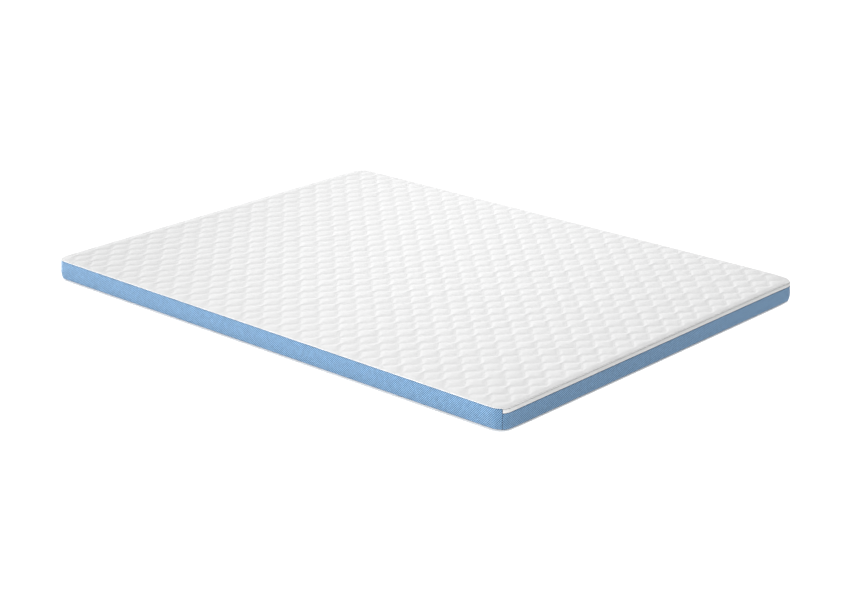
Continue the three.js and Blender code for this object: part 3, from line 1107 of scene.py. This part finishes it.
def floor_material(context):
    """Smooth pale floor with light of its own, so that it stays as pale as a lit sweep. Where it
    changes, its glow is painted light: it is stronger on the left, where it lights the mattress's
    left side, and it changes softly just beside all its sides, where it lights their lower edges and
    keeps the floor's shadow faint."""
    lights = context.scene.mattress_lights
    colour = context.scene.mattress_colours.floor
    material, tree, shader = new_material("pale_floor", roughness=0.9, sheen=0.0)
    source, x, y, _ = coordinates(tree)
    tint = clouded(tree, source, colour, scale=3, darkest=0.995, lightest=1.0)
    tree.links.new(tint, shader.inputs["Base Color"])
    outside = -HALF_WIDTH - LEFT_GLOW_OUTSIDE
    inside = -HALF_WIDTH + LEFT_GLOW_INSIDE
    glow = smooth_step(tree, x, outside, inside, lights.left_glow, lights.floor_glow)
    beyond_x = calculate(tree, "SUBTRACT", calculate(tree, "ABSOLUTE", x), HALF_WIDTH)
    beyond_y = calculate(tree, "SUBTRACT", calculate(tree, "ABSOLUTE", y), HALF_LENGTH)
    away = calculate(tree, "MAXIMUM", beyond_x, beyond_y)
    beside = smooth_step(tree, away, EDGE_GLOW_START, EDGE_GLOW_FULL)
    glow = mix(tree, beside, glow, lights.edge_glow, data_type="FLOAT")
    tree.links.new(glow, shader.inputs["Emission Strength"])
    shader.inputs["Emission Color"].default_value = (1, 1, 1, 1)
    return material


def add_key_light(strength):
    """A very wide distant light. Azimuth 0 is on the +Y side, and 90 on the +X side."""
    data = bpy.data.lights.new("key_light", "SUN")
    data.energy = strength
    data.angle = math.radians(KEY_SPREAD)
    turn, rise = math.radians(KEY_AZIMUTH), math.radians(KEY_ELEVATION)
    level = math.cos(rise)
    towards = Vector((math.sin(turn) * level, math.cos(turn) * level, math.sin(rise)))
    lamp = linked("key_light", data)
    lamp.rotation_euler = towards.to_track_quat("Z", "Y").to_euler()
    lamp.location = towards * KEY_DISTANCE


def place_matrix(right, up, back, place):
    """The matrix that turns an object's axes to three directions and moves it to a place."""
    columns = (right, up, back, place)
    return Matrix([[column[i] for column in columns] for i in range(3)] + [[0, 0, 0, 1]])


def add_long_lamp(strength):
    """A long soft lamp over the mattress, which leaves its far left and near right a little
    darker than its middle."""
    data = bpy.data.lights.new("long_lamp", "AREA")
    data.shape = "RECTANGLE"
    data.size = LAMP_LENGTH
    data.size_y = LAMP_WIDTH
    data.energy = strength
    lamp = linked("long_lamp", data)
    back = -LAMP_FACING.normalized()
    along = (LAMP_ALONG - back * LAMP_ALONG.dot(back)).normalized()
    lamp.matrix_world = place_matrix(along, back.cross(along), back, LAMP_PLACE)
    lamp.visible_camera = False


def add_camera():
    """The camera at the photograph's angle, distance and lens."""
    azimuth, elevation, roll = CAMERA_AZIMUTH, CAMERA_ELEVATION, CAMERA_ROLL
    back = Vector((
        math.sin(azimuth) * math.cos(elevation),
        -math.cos(azimuth) * math.cos(elevation),
        math.sin(elevation),
    ))
    level = Vector((math.cos(azimuth), math.sin(azimuth), 0))
    upright = back.cross(level)
    right = math.cos(roll) * level + math.sin(roll) * upright
    up = back.cross(right)
    data = bpy.data.cameras.new("camera")
    data.lens = CAMERA_LENS_MM
    data.sensor_width = CAMERA_SENSOR_MM
    data.clip_end = 100
    camera = linked("camera", data)
    place = CAMERA_TARGET + back * CAMERA_DISTANCE
    camera.matrix_world = place_matrix(right, up, back, place)
    bpy.context.scene.camera = camera


class MATTRESS_OT_studio(bpy.types.Operator):
    """Makes the pale floor, the soft lights and the camera"""

    bl_idname = "mattress.studio"
    bl_label = "Studio"

    def execute(self, context):
        lights = context.scene.mattress_lights
        corners = np.array([(-1, -1, 0), (1, -1, 0), (1, 1, 0), (-1, 1, 0)]) * FLOOR_REACH
        corners[:, 2] = CAD_LOW.z - FLOOR_GAP
        floor = mesh_object("floor", corners, [np.array([[0, 1, 2, 3]])])
        floor.data.materials.append(floor_material(context))
        add_key_light(lights.key)
        add_long_lamp(lights.long_lamp)
        world = bpy.data.worlds.new("room")
        world.use_nodes = True
        background = world.node_tree.nodes["Background"]
        background.inputs["Color"].default_value = (1, 1, 1, 1)
        background.inputs["Strength"].default_value = lights.sky
        context.scene.world = world
        context.scene.view_settings.view_transform = "Standard"
        add_camera()
        return {"FINISHED"}


class MATTRESS_PT_sidebar(bpy.types.Panel):
    """Lists the steps that make the mattress"""

    bl_idname = "MATTRESS_PT_sidebar"
    bl_label = "Mattress"
    bl_space_type = "VIEW_3D"
    bl_region_type = "UI"
    bl_category = "Mattress"

    def draw(self, context):
        scene = context.scene
        for group in (scene.mattress_sizes, scene.mattress_colours, scene.mattress_lights):
            box = self.layout.box()
            for name in group.bl_rna.properties.keys():
                if name not in {"rna_type", "name"}:
                    box.prop(group, name)
        for operator in OPERATORS:
            self.layout.operator(operator.bl_idname)


GROUPS = {
    "mattress_sizes": MattressSizes,
    "mattress_colours": MattressColours,
    "mattress_lights": MattressLights,
}
OPERATORS = (
    MATTRESS_OT_quilted_panel,
    MATTRESS_OT_mesh_border,
    MATTRESS_OT_foot_strip,
    MATTRESS_OT_zip_band,
    MATTRESS_OT_bottom_cloth,
    MATTRESS_OT_seam_stitches,
    MATTRESS_OT_studio,
)


def register():
    for name, group in GROUPS.items():
        bpy.utils.register_class(group)
        setattr(bpy.types.Scene, name, PointerProperty(type=group))
    for kind in (*OPERATORS, MATTRESS_PT_sidebar):
        bpy.utils.register_class(kind)


def unregister():
    for kind in (MATTRESS_PT_sidebar, *reversed(OPERATORS)):
        bpy.utils.unregister_class(kind)
    for name, group in reversed(GROUPS.items()):
        delattr(bpy.types.Scene, name)
        bpy.utils.unregister_class(group)


def main():
    """Makes every piece and the studio."""
    register()
    for operator in OPERATORS:
        step = operator.bl_idname.split(".")[1]
        getattr(bpy.ops.mattress, step)()


if __name__ == "__main__":
    main()
